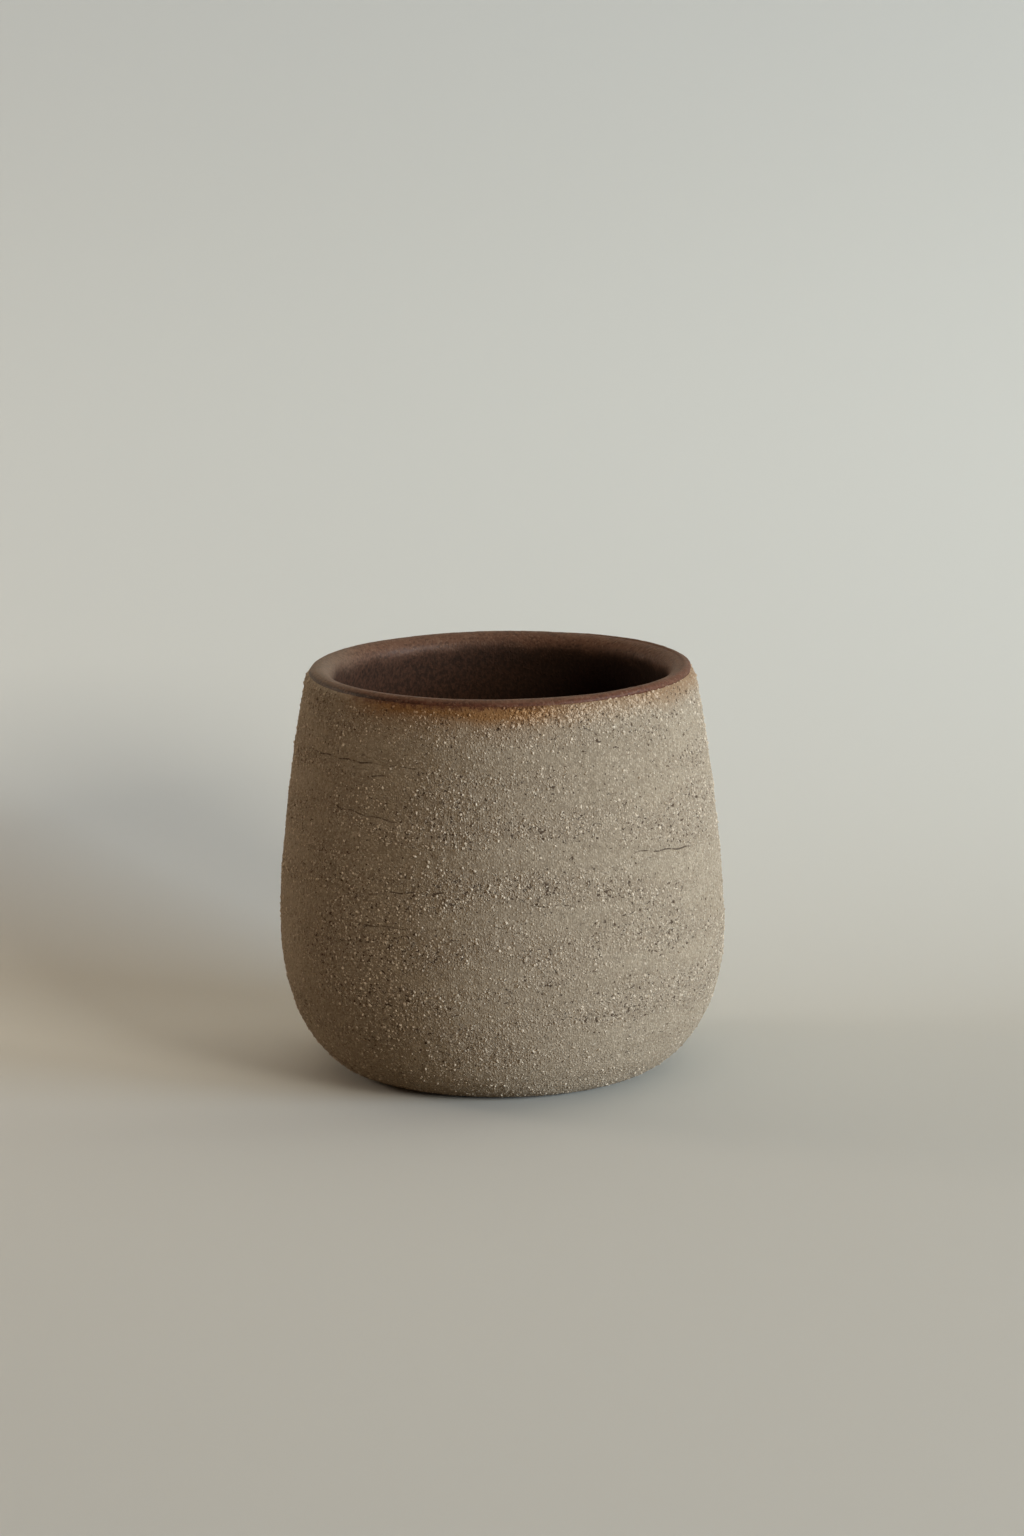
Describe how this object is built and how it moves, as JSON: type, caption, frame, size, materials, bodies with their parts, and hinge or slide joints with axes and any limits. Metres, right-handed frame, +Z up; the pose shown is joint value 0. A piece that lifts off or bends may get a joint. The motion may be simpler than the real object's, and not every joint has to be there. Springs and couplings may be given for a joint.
{
  "type": "handleless drinking cup",
  "caption": "Round-bellied stoneware cup without handles, its wall leaning in to a rounded lip, bare speckled clay outside and dark glaze over the lip and inside.",
  "frame": {"origin": "on the cup's axis, in the plane that the foot ring stands on", "axes": "+Z up along the cup's axis, out of its mouth; X and Y are alike"},
  "size_m": [0.086, 0.086, 0.079],
  "materials": {
    "bare_stoneware": "matte, grogged, unglazed",
    "dark_glaze": "satin, dark brown breaking red-brown on the lip"
  },
  "bodies": {
    "root": {"stoneware_body": "bare_stoneware", "glaze_lining": "dark_glaze"}
  },
  "joints": []
}
